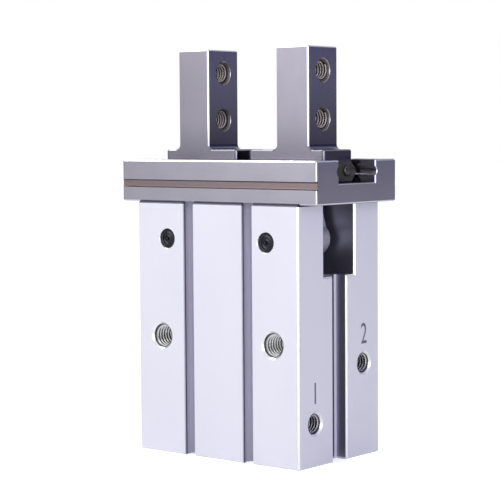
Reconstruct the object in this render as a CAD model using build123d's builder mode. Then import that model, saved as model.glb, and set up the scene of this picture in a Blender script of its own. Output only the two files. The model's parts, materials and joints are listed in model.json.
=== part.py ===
from build123d import *
from math import cos, radians, sin
import os

# Two finger parallel gripper, worked by air, 25 mm bore.
# A piston lifts a rod. The rod swings two bell crank levers, and the levers
# push two fingers apart or together along a ball guide on top of the body.
# X is the way the fingers open, Y is the depth with the front at -Y, Z is up.
# The origin is the middle of the underside. All sizes are in millimetres.
# The fingers stand a little open, as in the reference view.

os.makedirs("parts", exist_ok=True)

# Running and sliding clearances
press_gap = 0.01        # radial, pins and screws in their own holes
running_gap = 0.02      # radial, lever on its shaft
rod_gap = 0.03          # radial, rod in its bush
nose_gap = 0.06         # each side of a lever nose in its slot
side_gap = 0.2          # each side of a lever in the finger
ball_gap = 0.05         # radial, ball in its groove
guide_gap = 0.3         # finger above the channel floor
piston_gap = 0.1        # radial, piston in the bore
seal_gap = 0.03         # radial, seals and wear ring in the bore
end_gap = 0.1           # piston to bumper at each end of the stroke
overshoot = 1.0         # cuts run this far past an open face

# Housing
body_width = 52.0
body_depth = 33.6
body_edge = 0.4
lever_slot_width = 12.7
lever_slot_depth = 18.0
window_edge = 0.45

# Guide rail
rail_length = 63.0
rail_wall = 9.05
rail_height = 10.6
rail_edge = 0.35
rail_corner = 0.7
channel_width = 15.2
channel_depth = 5.7
channel_edge = 0.2
rail_groove_width = 2.0
rail_groove_depth = 0.5
rail_groove_corner = 0.4
rail_groove_height = 4.6
rail_slot_corner = 1.5

# Balls
ball_diameter = 2.5
ball_pitch = 2.6
balls_in_row = 6
ball_below_rail_top = 2.8
ball_from_wall = 0.65

# Fingers
finger_stroke = 7.0
closed_gap = 19.3
drawn_opening = 1.4
tab_thickness = 10.0
finger_width = 12.0
tab_length = 25.5
tab_edge = 0.3
tab_fillet = 1.3
flange_rise = 2.5
flange_below_rail_top = 0.5
flange_reach_in = 9.1
flange_reach_out = 4.7
flange_corner = 1.0
guide_width = 13.7
pocket_roof_gap = 0.3
finger_hole_diameter = 5.0
finger_hole_from_tip = 5.9
finger_hole_spacing = 12.0
hole_mouth = 0.5

# End plates on the fingers, which keep the balls in
plate_thickness = 1.0
plate_top_width = 10.6
plate_nose_width = 14.6
plate_foot_width = 11.2
plate_nose_flat = 0.8
plate_screw_spacing = 7.0
plate_screw_diameter = 1.6
plate_screw_length = 4.0
plate_screw_head_diameter = 2.8
plate_screw_head = 0.5
plate_screw_round = 0.4

# Levers and their shafts
pivot_from_end = 10.0
pivot_below_top = 9.3
shaft_diameter = 5.0
shaft_inset = 0.1
shaft_edge = 0.4
shaft_recess_diameter = 2.9
shaft_recess_depth = 0.25
shaft_centre_diameter = 1.0
shaft_mouth = 0.12
lever_thickness = 9.0
lever_edge = 0.3
hub_radius = 4.0
lever_reach_up = 16.5
lever_nose_from_axis = 5.1
nose_radius = 2.2
arm_root_radius = 3.4
arm_tip_radius = 1.3

# Bore, end cap and retaining ring
bore_diameter = 25.0
recess_diameter = 26.0
recess_depth = 2.0
ring_lip = 0.6
ring_thickness = 1.2
ring_slack = 0.05
ring_groove_depth = 0.8
ring_back_width = 2.3
ring_tip_width = 1.5
ring_mouth_angle = 44.0
ring_lug_radius = 1.7
ring_lug_hole = 1.1
cap_thickness = 4.6
cap_recess_diameter = 15.0
cap_recess_depth = 1.2
cap_recess_draft = 0.6
o_ring_section = 1.8
o_ring_groove_extra = 0.2

# Piston
piston_length = 12.0
piston_spigot_diameter = 20.0
piston_spigot = 1.6
piston_land = 0.7
seal_groove_height = 2.6
seal_groove_depth = 2.4
magnet_height = 3.0
magnet_thickness = 2.6
wear_ring_thickness = 0.9
groove_slack = 0.05
bumper_thickness = 0.8
bumper_width = 1.3
bumper_inset = 0.2

# Piston rod, its bush and its seal
rod_diameter = 12.0
rod_neck_diameter = 5.0
rod_collar = 3.0
rod_edge = 0.5
stud_diameter = 6.0
nut_across_flats = 10.0
nut_height = 3.6
nut_recess_diameter = 12.6
nut_recess_depth = 4.2
bush_diameter = 16.0
bush_length = 10.0
bush_shoulder = 3.0
rod_hole_diameter = 12.6
rod_seal_height = 4.0
seal_plate_thickness = 2.4

# Air ports
port_diameter = 5.0
port_depth = 6.0
port_pilot_diameter = 2.5
port_offset = 10.2
port_above_cap = 2.15
port_below_chamber_top = 3.4

# Mounting holes
mount_spacing = 36.0
mount_height = 30.0
mount_diameter = 6.0
mount_depth = 12.0
through_diameter = 5.1
base_hole_spacing = 34.0

# Sensor grooves
groove_mouth = 3.35
groove_round_diameter = 4.2
groove_round_depth = 2.3
groove_places = (-8.9, 10.1)
end_groove_width = 5.6
end_groove_depth = 3.2
end_groove_edge = 0.35
end_slot_width = 3.8
end_slot_depth = 1.5

# Screws that hold the rail
rail_screw_x = 21.5
rail_screw_diameter = 3.0
rail_screw_head_diameter = 5.5
rail_screw_head = 3.0
rail_screw_sink = 3.3
rail_screw_bite = 5.5
rail_screw_hole_extra = 1.5
rail_screw_key = 2.5
rail_screw_key_depth = 1.5
rail_screw_sink_gap = 0.15
rail_screw_shank_gap = 0.1

# Lever places. A lever stands upright at half stroke, and leans by this much as drawn
pivot_x = body_width / 2 - pivot_from_end
lever_reach_in = pivot_x - lever_nose_from_axis
from_half_stroke = drawn_opening - finger_stroke / 2
lever_lean = from_half_stroke / lever_reach_up

# Heights from the underside up, through the cylinder to the top of the housing
ring_bottom = recess_depth + ring_lip
cap_bottom = ring_bottom + ring_thickness + ring_slack
cap_top = cap_bottom + cap_thickness
piston_travel = finger_stroke * lever_reach_in / lever_reach_up
piston_lowest = cap_top + bumper_thickness + end_gap
chamber_top = piston_lowest + piston_length + piston_travel + end_gap + bumper_thickness
piston_bottom = piston_lowest + drawn_opening * lever_reach_in / lever_reach_up
piston_top = piston_bottom + piston_length
seal_plate_top = chamber_top + seal_plate_thickness
rod_seal_top = seal_plate_top + rod_seal_height
bush_top = rod_seal_top + bush_length
slot_floor = bush_top + bush_shoulder
body_height = slot_floor + lever_slot_depth
lower_port_z = cap_top + port_above_cap
upper_port_z = chamber_top - port_below_chamber_top

# Rail and ball places
rail_depth = channel_width + 2 * rail_wall
rail_top = body_height + rail_height
channel_floor = rail_top - channel_depth
ball_z = rail_top - ball_below_rail_top
ball_y = channel_width / 2 - ball_from_wall
ball_groove_radius = ball_diameter / 2 + ball_gap
rail_screw_y = (ball_y + ball_groove_radius + rail_depth / 2) / 2

# Finger places
flange_top = rail_top + flange_rise
flange_bottom = rail_top - flange_below_rail_top
finger_top = flange_top + tab_length
guide_bottom = channel_floor + guide_gap
tab_inner = closed_gap / 2 + drawn_opening
tab_outer = tab_inner + tab_thickness
tab_middle = (tab_inner + tab_outer) / 2
flange_inner = tab_inner - flange_reach_in
flange_outer = tab_outer + flange_reach_out
flange_middle = (flange_inner + flange_outer) / 2
guide_inner = flange_inner + plate_thickness
guide_outer = flange_outer - plate_thickness

# Places of the lever noses, and of the pocket and the rod neck that take them
pivot_z = body_height - pivot_below_top
upper_nose_x = pivot_x + lever_reach_up * sin(lever_lean)
upper_nose_z = pivot_z + lever_reach_up * cos(lever_lean)
inner_nose_x = pivot_x - lever_reach_in * cos(lever_lean)
inner_nose_z = pivot_z + lever_reach_in * sin(lever_lean)
nose_slot_half = nose_radius + nose_gap
pocket_x = pivot_x + from_half_stroke
pocket_roof = pivot_z + lever_reach_up + nose_radius + pocket_roof_gap
neck_z = pivot_z + from_half_stroke * lever_reach_in / lever_reach_up
rod_top = neck_z + nose_slot_half + rod_collar

# Radii used by more than one piece
bore_radius = bore_diameter / 2
ring_groove_radius = bore_radius + ring_groove_depth
rod_radius = rod_diameter / 2
stud_radius = stud_diameter / 2
bush_radius = bush_diameter / 2
piston_radius = bore_radius - piston_gap
seal_radius = bore_radius - seal_gap
bumper_radius = piston_spigot_diameter / 2 - bumper_inset

sides = {"right": 1, "left": -1}
depths = {"front": -1, "rear": 1}
screw_spots = [(x, y) for x in (-rail_screw_x, rail_screw_x) for y in (-rail_screw_y, rail_screw_y)]


def face_plane(x, y, z, outward):
    """A plane on an upright face, with its normal pointing out of the face."""
    return Plane(origin=(x, y, z), x_dir=(-outward[1], outward[0], 0), z_dir=outward)


def ring_profile(inner, outer, bottom, top):
    """A closed rectangle in the XZ plane, to be turned about Z."""
    Polyline((inner, bottom), (outer, bottom), (outer, top), (inner, top), close=True)


def is_fillet_seam(edge):
    """True for a line across the finger in which a tab fillet runs out flat."""
    middle = edge.center()
    across = abs(edge.tangent_at(0.5).Y) > cos(radians(1))
    by_tab = abs(abs(middle.X) - tab_middle) < tab_thickness / 2 + tab_fillet + press_gap
    return across and by_tab and middle.Z < finger_top - press_gap


def save(piece, name):
    """Names a finished piece and writes it."""
    piece.part.label = name
    export_step(piece.part, f"parts/{name}.step")


# Housing: a block with a stepped bore from below and the lever slot from above
with BuildPart() as housing:
    with BuildSketch():
        Rectangle(body_width, body_depth)
    extrude(amount=body_height)
    chamfer(housing.edges(), body_edge)

    # Lever slot, open at both ends, which makes the two side windows
    with BuildSketch(Plane.XY.offset(slot_floor)):
        Rectangle(body_width, lever_slot_width)
    extrude(amount=lever_slot_depth, mode=Mode.SUBTRACT)
    window_ends = housing.faces().filter_by(Axis.X).sort_by(Axis.X)
    for end_face in (window_ends[0], window_ends[-1]):
        chamfer(
            [
                edge
                for edge in end_face.edges()
                if abs(edge.center().Y) < lever_slot_width / 2 + press_gap
                and slot_floor - press_gap < edge.center().Z < body_height - body_edge - press_gap
            ],
            window_edge,
        )

    # Recess, retaining ring groove, bore, bush seat and rod hole in one turning
    with BuildSketch(Plane.XZ):
        with BuildLine():
            Polyline(
                (0, 0),
                (recess_diameter / 2, 0),
                (recess_diameter / 2, recess_depth),
                (bore_radius, recess_depth),
                (bore_radius, ring_bottom),
                (ring_groove_radius, ring_bottom),
                (ring_groove_radius, cap_bottom),
                (bore_radius, cap_bottom),
                (bore_radius, chamber_top),
                (bush_radius, chamber_top),
                (bush_radius, bush_top),
                (rod_hole_diameter / 2, bush_top),
                (rod_hole_diameter / 2, slot_floor + overshoot),
                (0, slot_floor + overshoot),
                close=True,
            )
        make_face()
    revolve(axis=Axis.Z, mode=Mode.SUBTRACT)

    # Sensor grooves on the front and the rear: a round channel behind a narrow mouth
    with BuildSketch():
        for side in depths.values():
            for place in groove_places:
                with Locations((place, side * (body_depth / 2 - groove_round_depth))):
                    Circle(groove_round_diameter / 2)
                with Locations((place, side * body_depth / 2)):
                    Rectangle(groove_mouth, 2 * groove_round_depth)
    extrude(amount=body_height, mode=Mode.SUBTRACT)

    # Stepped groove down the middle of each end
    for side in sides.values():
        end = side * body_width / 2
        inward = -side
        with BuildSketch():
            with BuildLine():
                Polyline(
                    (end, end_groove_width / 2 + end_groove_edge),
                    (end + inward * end_groove_edge, end_groove_width / 2),
                    (end + inward * end_groove_depth, end_groove_width / 2),
                    (end + inward * end_groove_depth, end_slot_width / 2),
                    (end + inward * (end_groove_depth + end_slot_depth), end_slot_width / 2),
                    (end + inward * (end_groove_depth + end_slot_depth), -end_slot_width / 2),
                    (end + inward * end_groove_depth, -end_slot_width / 2),
                    (end + inward * end_groove_depth, -end_groove_width / 2),
                    (end + inward * end_groove_edge, -end_groove_width / 2),
                    (end, -end_groove_width / 2 - end_groove_edge),
                    close=True,
                )
            make_face()
        extrude(amount=slot_floor + overshoot, mode=Mode.SUBTRACT)

    # Two tapped ports on the right end, each with a small drilling on to the bore
    right_end = body_width / 2
    for port_y, port_z in ((-port_offset, lower_port_z), (port_offset, upper_port_z)):
        with Locations(face_plane(right_end, port_y, port_z, (1, 0, 0))):
            CounterSinkHole(port_diameter / 2, port_diameter / 2 + hole_mouth, port_depth, 90)
            Hole(port_pilot_diameter / 2, right_end - bore_radius / 2)

    # Mounting holes through the body, tapped from the front
    for side in sides.values():
        with Locations(face_plane(side * mount_spacing / 2, -body_depth / 2, mount_height, (0, -1, 0))):
            CounterSinkHole(mount_diameter / 2, mount_diameter / 2 + hole_mouth, mount_depth, 90)
            Hole(through_diameter / 2, body_depth)

    # Tapped holes in the underside
    with Locations(Plane.XY.rotated((180, 0, 0))):
        with Locations((-base_hole_spacing / 2, 0), (base_hole_spacing / 2, 0)):
            CounterSinkHole(mount_diameter / 2, mount_diameter / 2 + hole_mouth, mount_depth, 90)

    # Cross holes for the lever shafts, with a small chamfer at both ends
    shaft_hole = shaft_diameter / 2 + press_gap
    for side in sides.values():
        for depth_side in depths.values():
            outward = (0, depth_side, 0)
            with Locations(face_plane(side * pivot_x, depth_side * body_depth / 2, pivot_z, outward)):
                CounterSinkHole(shaft_hole, shaft_hole + shaft_mouth, body_depth / 2, 90)

    # Tapped holes for the rail screws
    with Locations(Plane.XY.offset(body_height)):
        with Locations(*screw_spots):
            Hole(rail_screw_diameter / 2 + press_gap, rail_screw_bite + rail_screw_hole_extra)
save(housing, "housing")

# Guide rail: a hardened bar with a wide channel, ball grooves and two lever slots
with BuildPart() as guide_rail:
    with BuildSketch(Plane.XY.offset(body_height)):
        RectangleRounded(rail_length, rail_depth, rail_corner)
    extrude(amount=rail_height)
    chamfer(guide_rail.faces().filter_by(Axis.Z).edges(), rail_edge)

    # Channel with a ball groove in each wall, and a shallow groove on each outer side
    with BuildSketch(Plane.YZ):
        with Locations((0, rail_top)):
            Rectangle(channel_width, 2 * channel_depth)
        with Locations((-ball_y, ball_z), (ball_y, ball_z)):
            Circle(ball_groove_radius)
        groove_z = body_height + rail_groove_height
        with Locations((-rail_depth / 2, groove_z), (rail_depth / 2, groove_z)):
            RectangleRounded(2 * rail_groove_depth, rail_groove_width, rail_groove_corner)
    extrude(amount=rail_length / 2, both=True, mode=Mode.SUBTRACT)

    # A fine chamfer round the mouth of the channel at both ends
    rail_ends = guide_rail.faces().filter_by(Axis.X).sort_by(Axis.X)
    for end_face in (rail_ends[0], rail_ends[-1]):
        mouth = end_face.edges().filter_by_position(Axis.Y, -rail_depth / 4, rail_depth / 4, (False, False))
        inside = mouth.filter_by_position(Axis.Z, channel_floor - press_gap, rail_top - press_gap)
        chamfer(inside, channel_edge)

    # Slots in the floor for the upright lever arms
    slot_length = finger_stroke + 2 * nose_radius + 2 * guide_gap
    with BuildSketch(Plane.XY.offset(body_height)):
        with Locations((-pivot_x, 0), (pivot_x, 0)):
            RectangleRounded(slot_length, lever_thickness + 4 * side_gap, rail_slot_corner)
    extrude(amount=rail_height, mode=Mode.SUBTRACT)

    # Counterbored holes for the four screws
    with Locations(Plane.XY.offset(rail_top)):
        with Locations(*screw_spots):
            CounterBoreHole(
                rail_screw_diameter / 2 + rail_screw_shank_gap,
                rail_screw_head_diameter / 2 + rail_screw_sink_gap,
                rail_screw_sink,
                rail_height,
            )
save(guide_rail, "guide_rail")

# Socket head screws that hold the rail down
with BuildPart() as rail_screws:
    head_bottom = rail_top - rail_screw_sink
    with BuildSketch(Plane.XY.offset(head_bottom)):
        with Locations(*screw_spots):
            Circle(rail_screw_head_diameter / 2)
    extrude(amount=rail_screw_head)
    with BuildSketch(Plane.XY.offset(body_height - rail_screw_bite)):
        with Locations(*screw_spots):
            Circle(rail_screw_diameter / 2)
    extrude(amount=head_bottom - body_height + rail_screw_bite)
    with BuildSketch(Plane.XY.offset(head_bottom + rail_screw_head - rail_screw_key_depth)):
        with Locations(*screw_spots):
            RegularPolygon(rail_screw_key / 2, 6, major_radius=False)
    extrude(amount=rail_screw_key_depth, mode=Mode.SUBTRACT)
save(rail_screws, "rail_screws")

# Fingers, one each side: a tab on a flange on a guide block
for side_name, side in sides.items():
    with BuildPart() as finger:
        # Tab and flange in one upright outline, with a fillet on both sides of the tab
        with BuildSketch(Plane.XZ) as outline:
            with Locations((side * flange_middle, (flange_bottom + flange_top) / 2)):
                Rectangle(flange_outer - flange_inner, flange_top - flange_bottom)
            with Locations((side * tab_middle, (flange_bottom + finger_top) / 2)):
                Rectangle(tab_thickness, finger_top - flange_bottom)
            on_flange = outline.vertices().filter_by_position(
                Axis.Y, flange_top - press_gap, flange_top + press_gap
            )
            fillet(on_flange.sort_by(lambda corner: abs(corner.X - side * tab_middle))[:2], tab_fillet)
        extrude(amount=finger_width / 2, both=True)

        # Rounded flange corners, then one fine chamfer all along the upper outline
        flange_posts = finger.edges().filter_by(Axis.Z).filter_by_position(Axis.Z, flange_bottom, flange_top)
        fillet(flange_posts, flange_corner)
        rim = finger.edges().filter_by_position(Axis.Z, flange_top - press_gap, finger_top + press_gap)
        chamfer([edge for edge in rim if not is_fillet_seam(edge)], tab_edge)

        # Guide block between the two end plates, deep in the channel
        with BuildSketch(Plane.XY.offset(guide_bottom)):
            with Locations((side * (guide_inner + guide_outer) / 2, 0)):
                Rectangle(guide_outer - guide_inner, guide_width)
        extrude(amount=flange_bottom - guide_bottom)

        # Ball grooves along both sides of the guide block
        with BuildSketch(Plane.YZ.offset(side * guide_inner)):
            with Locations((-ball_y, ball_z), (ball_y, ball_z)):
                Circle(ball_groove_radius)
        extrude(amount=side * (guide_outer - guide_inner), mode=Mode.SUBTRACT)

        # Pocket for the lever nose
        with BuildSketch(Plane.XY.offset(guide_bottom)):
            with Locations((side * pocket_x, 0)):
                Rectangle(2 * nose_slot_half, lever_thickness + 2 * side_gap)
        extrude(amount=pocket_roof - guide_bottom, mode=Mode.SUBTRACT)

        # Two tapped holes through the tab, chamfered on both faces
        for face_x, outward in ((side * tab_inner, -side), (side * tab_outer, side)):
            for below_tip in (finger_hole_from_tip, finger_hole_from_tip + finger_hole_spacing):
                with Locations(face_plane(face_x, 0, finger_top - below_tip, (outward, 0, 0))):
                    CounterSinkHole(
                        finger_hole_diameter / 2,
                        finger_hole_diameter / 2 + hole_mouth,
                        tab_thickness / 2,
                        90,
                    )

        # Screw holes in both ends of the guide block
        for face_x, outward in ((side * guide_inner, -side), (side * guide_outer, side)):
            for screw_y in (-plate_screw_spacing / 2, plate_screw_spacing / 2):
                with Locations(face_plane(face_x, screw_y, ball_z, (outward, 0, 0))):
                    Hole(plate_screw_diameter / 2 + press_gap, plate_screw_length)
    save(finger, f"{side_name}_finger")

    # End plates: flat, with a nose on each side that stops the ball grooves
    with BuildPart() as end_plates:
        for plate_x in (flange_inner, guide_outer):
            start = plate_x if side > 0 else -plate_x - plate_thickness
            with BuildSketch(Plane.YZ.offset(start)):
                with BuildLine():
                    outline = Polyline(
                        (0, guide_bottom),
                        (plate_foot_width / 2, guide_bottom),
                        (plate_nose_width / 2, ball_z - plate_nose_flat / 2),
                        (plate_nose_width / 2, ball_z + plate_nose_flat / 2),
                        (plate_top_width / 2, flange_bottom),
                        (0, flange_bottom),
                    )
                    mirror(outline, about=Plane.YZ)
                make_face()
                with Locations((-plate_screw_spacing / 2, ball_z), (plate_screw_spacing / 2, ball_z)):
                    Circle(plate_screw_diameter / 2 + press_gap, mode=Mode.SUBTRACT)
            extrude(amount=plate_thickness)
    save(end_plates, f"{side_name}_end_plates")

    # Small round head screws that hold the plates
    with BuildPart() as plate_screws:
        for plate_face, outward in ((side * flange_inner, -side), (side * flange_outer, side)):
            for screw_y in (-plate_screw_spacing / 2, plate_screw_spacing / 2):
                seat = face_plane(plate_face, screw_y, ball_z, (outward, 0, 0))
                with BuildSketch(seat):
                    Circle(plate_screw_head_diameter / 2)
                extrude(amount=plate_screw_head)
                with BuildSketch(seat):
                    Circle(plate_screw_diameter / 2)
                extrude(amount=-plate_screw_length)
        head_places = (flange_inner - plate_screw_head, flange_outer + plate_screw_head)
        head_faces = [
            face
            for face in plate_screws.faces().filter_by(Axis.X)
            if min(abs(abs(face.center().X) - place) for place in head_places) < press_gap
        ]
        fillet([edge for face in head_faces for edge in face.edges()], plate_screw_round)
    save(plate_screws, f"{side_name}_plate_screws")

    # Two rows of balls, which roll at half the speed of the finger
    row_centre = flange_middle - from_half_stroke / 2
    for depth_name, depth_side in depths.items():
        with BuildPart() as ball_row:
            with Locations((side * row_centre, depth_side * ball_y, ball_z)):
                with GridLocations(ball_pitch, 1, balls_in_row, 1):
                    Sphere(ball_diameter / 2)
        save(ball_row, f"{side_name}_{depth_name}_balls")

    # Bell crank lever: a hub, an upright arm to the finger and a level arm to the rod
    with BuildPart() as lever:
        hub_spot = (side * pivot_x, pivot_z)
        for nose_spot in ((side * upper_nose_x, upper_nose_z), (side * inner_nose_x, inner_nose_z)):
            with BuildSketch(Plane.XZ):
                with Locations(hub_spot):
                    Circle(arm_root_radius)
                with Locations(nose_spot):
                    Circle(arm_tip_radius)
                make_hull()
                with Locations(nose_spot):
                    Circle(nose_radius)
            extrude(amount=lever_thickness / 2, both=True)
        with BuildSketch(Plane.XZ):
            with Locations(hub_spot):
                Circle(hub_radius)
        extrude(amount=lever_thickness / 2, both=True)
        chamfer(lever.faces().filter_by(Axis.Y).edges(), lever_edge)
        with BuildSketch(Plane.XZ):
            with Locations(hub_spot):
                Circle(shaft_diameter / 2 + running_gap)
        extrude(amount=lever_thickness / 2, both=True, mode=Mode.SUBTRACT)
    save(lever, f"{side_name}_lever")

    # Lever shaft: a turned pin, with a shallow recess and a centre mark in each end
    with BuildPart() as shaft:
        half_length = body_depth / 2 - shaft_inset
        recess_floor = half_length - shaft_recess_depth
        with BuildSketch(Plane.XY.offset(pivot_z)):
            with BuildLine():
                Polyline(
                    (side * pivot_x, 0),
                    (side * pivot_x + shaft_diameter / 2, 0),
                    (side * pivot_x + shaft_diameter / 2, half_length - shaft_edge),
                    (side * pivot_x + shaft_diameter / 2 - shaft_edge, half_length),
                    (side * pivot_x + shaft_recess_diameter / 2, half_length),
                    (side * pivot_x + shaft_recess_diameter / 2, recess_floor),
                    (side * pivot_x + shaft_centre_diameter / 2, recess_floor),
                    (side * pivot_x, recess_floor - shaft_centre_diameter / 2),
                    close=True,
                )
            make_face()
        revolve(axis=Axis((side * pivot_x, 0, pivot_z), (0, 1, 0)))
        mirror(about=Plane.XZ)
    save(shaft, f"{side_name}_lever_shaft")

# Piston rod: a stud for the piston, the rod, and a neck for the lever noses
with BuildPart() as piston_rod:
    with BuildSketch(Plane.XZ):
        with BuildLine():
            Polyline(
                (0, piston_bottom),
                (stud_radius, piston_bottom),
                (stud_radius, piston_top),
                (rod_radius, piston_top),
                (rod_radius, neck_z - nose_slot_half),
                (rod_neck_diameter / 2, neck_z - nose_slot_half),
                (rod_neck_diameter / 2, neck_z + nose_slot_half),
                (rod_radius, neck_z + nose_slot_half),
                (rod_radius, rod_top - rod_edge),
                (rod_radius - rod_edge, rod_top),
                (0, rod_top),
                close=True,
            )
        make_face()
    revolve(axis=Axis.Z)
save(piston_rod, "piston_rod")

# Piston: two spigots, a seal groove, and a groove for the magnet and wear ring
seal_groove_bottom = piston_bottom + piston_spigot + piston_land
seal_groove_top = seal_groove_bottom + seal_groove_height
magnet_groove_bottom = seal_groove_top + piston_land
magnet_groove_top = magnet_groove_bottom + magnet_height + 2 * groove_slack
seal_groove_radius = piston_radius - seal_groove_depth
magnet_groove_radius = seal_radius - wear_ring_thickness - magnet_thickness - groove_slack
with BuildPart() as piston:
    with BuildSketch(Plane.XZ):
        with BuildLine():
            Polyline(
                (nut_recess_diameter / 2, piston_bottom),
                (piston_spigot_diameter / 2, piston_bottom),
                (piston_spigot_diameter / 2, piston_bottom + piston_spigot),
                (piston_radius, piston_bottom + piston_spigot),
                (piston_radius, seal_groove_bottom),
                (seal_groove_radius, seal_groove_bottom),
                (seal_groove_radius, seal_groove_top),
                (piston_radius, seal_groove_top),
                (piston_radius, magnet_groove_bottom),
                (magnet_groove_radius, magnet_groove_bottom),
                (magnet_groove_radius, magnet_groove_top),
                (piston_radius, magnet_groove_top),
                (piston_radius, piston_top - piston_spigot),
                (piston_spigot_diameter / 2, piston_top - piston_spigot),
                (piston_spigot_diameter / 2, piston_top),
                (stud_radius + press_gap, piston_top),
                (stud_radius + press_gap, piston_bottom + nut_recess_depth),
                (nut_recess_diameter / 2, piston_bottom + nut_recess_depth),
                close=True,
            )
        make_face()
    revolve(axis=Axis.Z)
save(piston, "piston")

# Piston seal: a ring with two lips that press on the bore
with BuildPart() as piston_seal:
    lip = seal_groove_height / 4
    seal_bottom = seal_groove_bottom + groove_slack
    seal_top = seal_groove_top - groove_slack
    seal_middle = (seal_bottom + seal_top) / 2
    with BuildSketch(Plane.XZ):
        with BuildLine():
            Polyline(
                (seal_groove_radius + groove_slack, seal_bottom),
                (seal_radius, seal_bottom),
                (seal_radius, seal_bottom + lip),
                (seal_radius - lip, seal_middle),
                (seal_radius, seal_top - lip),
                (seal_radius, seal_top),
                (seal_groove_radius + groove_slack, seal_top),
                close=True,
            )
        make_face()
    revolve(axis=Axis.Z)
save(piston_seal, "piston_seal")

# Magnet ring for the sensors, under the wear ring
magnet_bottom = magnet_groove_bottom + groove_slack
magnet_top = magnet_bottom + magnet_height
magnet_outer = seal_radius - wear_ring_thickness
with BuildPart() as magnet_ring:
    with BuildSketch(Plane.XZ):
        with BuildLine():
            ring_profile(magnet_outer - magnet_thickness, magnet_outer, magnet_bottom, magnet_top)
        make_face()
    revolve(axis=Axis.Z)
save(magnet_ring, "magnet_ring")

# Wear ring that guides the piston in the bore
with BuildPart() as wear_ring:
    with BuildSketch(Plane.XZ):
        with BuildLine():
            ring_profile(magnet_outer, seal_radius, magnet_bottom, magnet_top)
        make_face()
    revolve(axis=Axis.Z)
save(wear_ring, "wear_ring")

# Nut that holds the piston on the rod, in a recess in the piston
with BuildPart() as piston_nut:
    nut_top = piston_bottom + nut_recess_depth
    with BuildSketch(Plane.XY.offset(nut_top - nut_height)):
        RegularPolygon(nut_across_flats / 2, 6, major_radius=False)
        Circle(stud_radius + press_gap, mode=Mode.SUBTRACT)
    extrude(amount=nut_height)
save(piston_nut, "piston_nut")

# Bumpers at the two ends of the chamber
for bumper_name, bumper_bottom in (
    ("lower_bumper", cap_top),
    ("upper_bumper", chamber_top - bumper_thickness),
):
    with BuildPart() as bumper:
        with BuildSketch(Plane.XY.offset(bumper_bottom)):
            Circle(bumper_radius)
            Circle(bumper_radius - bumper_width, mode=Mode.SUBTRACT)
        extrude(amount=bumper_thickness)
    save(bumper, bumper_name)

# Plate that holds the rod seal in
with BuildPart() as seal_plate:
    with BuildSketch(Plane.XY.offset(chamber_top)):
        Circle(bush_radius - press_gap)
        Circle(rod_hole_diameter / 2, mode=Mode.SUBTRACT)
    extrude(amount=seal_plate_thickness)
save(seal_plate, "seal_plate")

# Rod seal: a cup with its lips towards the air
with BuildPart() as rod_seal:
    seal_wall = (bush_diameter - rod_diameter) / 2
    seal_inner = rod_radius + rod_gap
    seal_outer = bush_radius - press_gap
    seal_split = (seal_inner + seal_outer) / 2
    with BuildSketch(Plane.XZ):
        with BuildLine():
            Polyline(
                (seal_inner, seal_plate_top),
                (seal_split, seal_plate_top + seal_wall),
                (seal_outer, seal_plate_top),
                (seal_outer, rod_seal_top),
                (seal_inner, rod_seal_top),
                close=True,
            )
        make_face()
    revolve(axis=Axis.Z)
save(rod_seal, "rod_seal")

# Bush that guides the rod
with BuildPart() as rod_bush:
    with BuildSketch(Plane.XY.offset(rod_seal_top)):
        Circle(bush_radius - press_gap)
        Circle(rod_radius + rod_gap, mode=Mode.SUBTRACT)
    extrude(amount=bush_top - rod_seal_top)
save(rod_bush, "rod_bush")

# End cap that closes the bore, with a groove for its ring seal
cap_radius = bore_radius - press_gap
o_ring_middle = (cap_bottom + cap_top) / 2
o_ring_half = (o_ring_section + o_ring_groove_extra) / 2
o_ring_seat = cap_radius - o_ring_section
with BuildPart() as end_cap:
    with BuildSketch(Plane.XZ):
        with BuildLine():
            Polyline(
                (0, cap_bottom + cap_recess_depth),
                (cap_recess_diameter / 2 - cap_recess_draft, cap_bottom + cap_recess_depth),
                (cap_recess_diameter / 2, cap_bottom),
                (cap_radius, cap_bottom),
                (cap_radius, o_ring_middle - o_ring_half),
                (o_ring_seat, o_ring_middle - o_ring_half),
                (o_ring_seat, o_ring_middle + o_ring_half),
                (cap_radius, o_ring_middle + o_ring_half),
                (cap_radius, cap_top),
                (0, cap_top),
                close=True,
            )
        make_face()
    revolve(axis=Axis.Z)
save(end_cap, "end_cap")

# Ring seal of the end cap
with BuildPart() as cap_o_ring:
    with BuildSketch(Plane.XZ):
        with Locations((o_ring_seat + o_ring_section / 2, o_ring_middle)):
            Circle(o_ring_section / 2 - press_gap)
    revolve(axis=Axis.Z)
save(cap_o_ring, "cap_o_ring")

# Retaining ring under the cap: widest at the back, with two eyes at its mouth
with BuildPart() as retaining_ring:
    ring_outer = ring_groove_radius - ring_slack
    ring_inner = ring_outer - (ring_back_width + ring_tip_width) / 2
    ring_shift = (ring_back_width - ring_tip_width) / 2
    eye_reach = ring_outer - ring_lug_radius
    eye_angles = (90 - ring_mouth_angle / 2, 90 + ring_mouth_angle / 2)
    with BuildSketch(Plane.XY.offset(ring_bottom)):
        Circle(ring_outer)
        with Locations((0, ring_shift)):
            Circle(ring_inner, mode=Mode.SUBTRACT)
        with BuildLine(mode=Mode.PRIVATE) as mouth:
            reach = 2 * ring_outer
            Polyline(
                (0, 0),
                (reach * cos(radians(eye_angles[0])), reach * sin(radians(eye_angles[0]))),
                (reach * cos(radians(eye_angles[1])), reach * sin(radians(eye_angles[1]))),
                close=True,
            )
        add(make_face(mouth.edges(), mode=Mode.PRIVATE), mode=Mode.SUBTRACT)
        for angle in eye_angles:
            with Locations((eye_reach * cos(radians(angle)), eye_reach * sin(radians(angle)))):
                Circle(ring_lug_radius)
                Circle(ring_lug_hole / 2, mode=Mode.SUBTRACT)
    extrude(amount=ring_thickness)
save(retaining_ring, "retaining_ring")
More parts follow.
